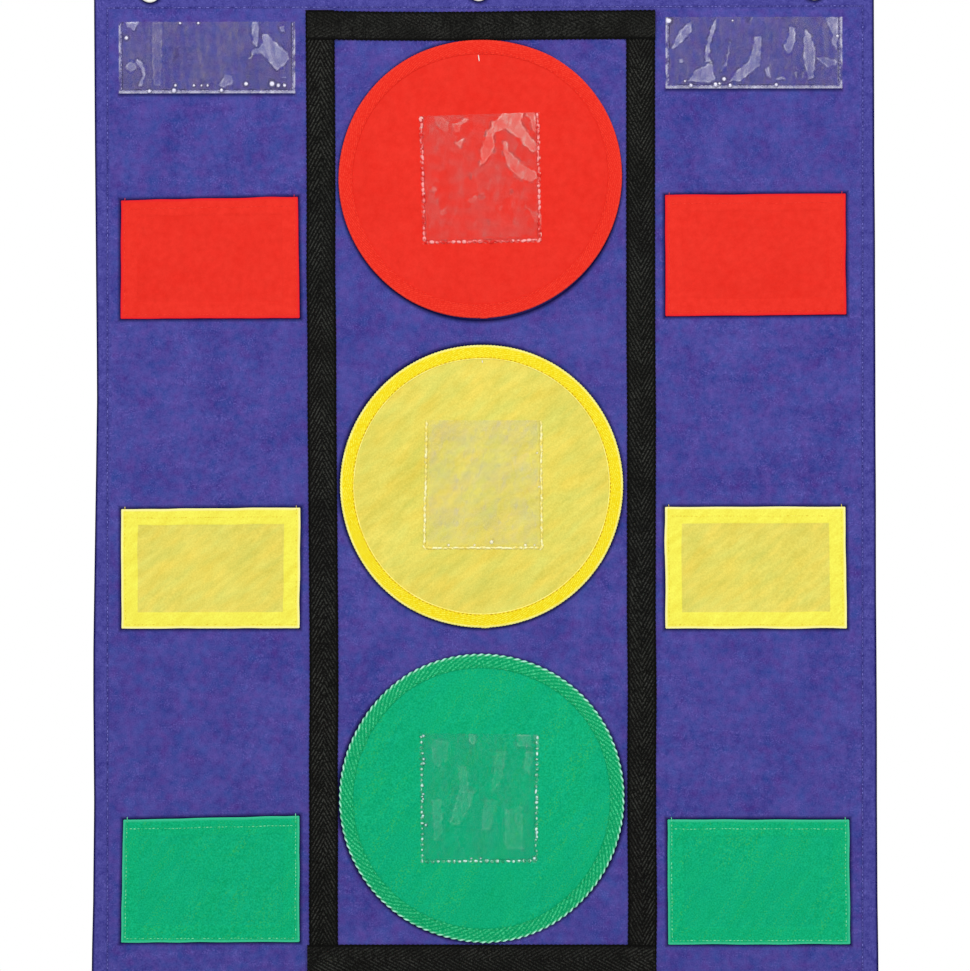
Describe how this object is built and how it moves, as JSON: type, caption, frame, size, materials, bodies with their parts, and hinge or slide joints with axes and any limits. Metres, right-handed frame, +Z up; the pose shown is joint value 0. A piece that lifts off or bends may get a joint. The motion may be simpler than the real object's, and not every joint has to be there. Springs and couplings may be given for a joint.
{
  "type": "pocket chart",
  "caption": "Hanging cloth pocket chart: a stoplight column of round pockets in a taped frame, with cloth side pockets, clear windows and label sleeves, hung by eyelets.",
  "frame": {"origin": "middle of the centre eyelet's hole, at the front face of the backing cloth", "axes": "+Z up, the chart faces -Y with the wall behind it at +Y, +X to the viewer's right"},
  "size_m": [0.5086, 0.0051, 0.6597],
  "materials": {
    "violet_cloth": "matt woven nylon, blue-violet",
    "violet_thread": "polyester sewing thread, blue-violet",
    "black_tape": "herringbone twill tape, black",
    "black_thread": "polyester sewing thread, black",
    "clear_film": "clear soft vinyl film, lightly creased",
    "film_thread": "sewing thread over clear film, blue-violet",
    "bright_metal": "bright nickel plate",
    "red_cloth": "matt woven nylon, red",
    "red_binding_tape": "folded grosgrain binding, red",
    "red_thread": "polyester sewing thread, red",
    "yellow_cloth": "thin matt woven nylon, yellow",
    "yellow_binding_tape": "folded grosgrain binding, yellow",
    "yellow_thread": "polyester sewing thread, yellow",
    "green_cloth": "matt woven nylon, green",
    "green_binding_tape": "folded grosgrain binding, green",
    "green_thread": "polyester sewing thread, green"
  },
  "bodies": {
    "chart": {"backing_panel": "violet_cloth", "hem_stitching": "violet_thread", "left_frame_tape": "black_tape", "right_frame_tape": "black_tape", "top_frame_tape": "black_tape", "bottom_frame_tape": "black_tape", "frame_outer_stitching": "black_thread", "frame_inner_stitching": "black_thread", "left_eyelet": "bright_metal", "left_washer": "bright_metal", "centre_eyelet": "bright_metal", "centre_washer": "bright_metal", "right_eyelet": "bright_metal", "right_washer": "bright_metal", "left_sleeve": "clear_film", "left_sleeve_seam": "film_thread", "right_sleeve": "clear_film", "right_sleeve_seam": "film_thread", "red_round_pocket": "red_cloth", "red_binding": "red_binding_tape", "red_round_seam": "red_thread", "red_window": "clear_film", "red_window_seam": "red_thread", "red_left_pocket": "red_cloth", "red_left_pocket_seam": "red_thread", "red_left_hem_stitching": "red_thread", "red_right_pocket": "red_cloth", "red_right_pocket_seam": "red_thread", "red_right_hem_stitching": "red_thread", "yellow_round_pocket": "yellow_cloth", "yellow_binding": "yellow_binding_tape", "yellow_round_seam": "yellow_thread", "yellow_window": "clear_film", "yellow_window_seam": "yellow_thread", "yellow_left_pocket": "yellow_cloth", "yellow_left_pocket_seam": "yellow_thread", "yellow_left_hem_stitching": "yellow_thread", "yellow_right_pocket": "yellow_cloth", "yellow_right_pocket_seam": "yellow_thread", "yellow_right_hem_stitching": "yellow_thread", "green_round_pocket": "green_cloth", "green_binding": "green_binding_tape", "green_round_seam": "green_thread", "green_window": "clear_film", "green_window_seam": "green_thread", "green_left_pocket": "green_cloth", "green_left_pocket_seam": "green_thread", "green_left_hem_stitching": "green_thread", "green_right_pocket": "green_cloth", "green_right_pocket_seam": "green_thread", "green_right_hem_stitching": "green_thread"},
    "red_mouth": {"red_mouth_flap": "red_cloth", "red_mouth_binding": "red_binding_tape", "red_mouth_stitching": "red_thread"},
    "yellow_mouth": {"yellow_mouth_flap": "yellow_cloth", "yellow_mouth_binding": "yellow_binding_tape", "yellow_mouth_stitching": "yellow_thread"},
    "green_mouth": {"green_mouth_flap": "green_cloth", "green_mouth_binding": "green_binding_tape", "green_mouth_stitching": "green_thread"}
  },
  "joints": [
    {"name": "red_mouth_opening", "type": "hinge", "parent": "chart", "child": "red_mouth", "pos_m": [0.00102, -0.00295, -0.07414], "axis": [1, 0, 0], "range_deg": [0, 60], "stiffness_Nm_per_rad": 0.002},
    {"name": "yellow_mouth_opening", "type": "hinge", "parent": "chart", "child": "yellow_mouth", "pos_m": [0.0018, -0.00295, -0.27262], "axis": [1, 0, 0], "range_deg": [0, 60], "stiffness_Nm_per_rad": 0.002},
    {"name": "green_mouth_opening", "type": "hinge", "parent": "chart", "child": "green_mouth", "pos_m": [0.00206, -0.00295, -0.47655], "axis": [1, 0, 0], "range_deg": [0, 60], "stiffness_Nm_per_rad": 0.002}
  ]
}
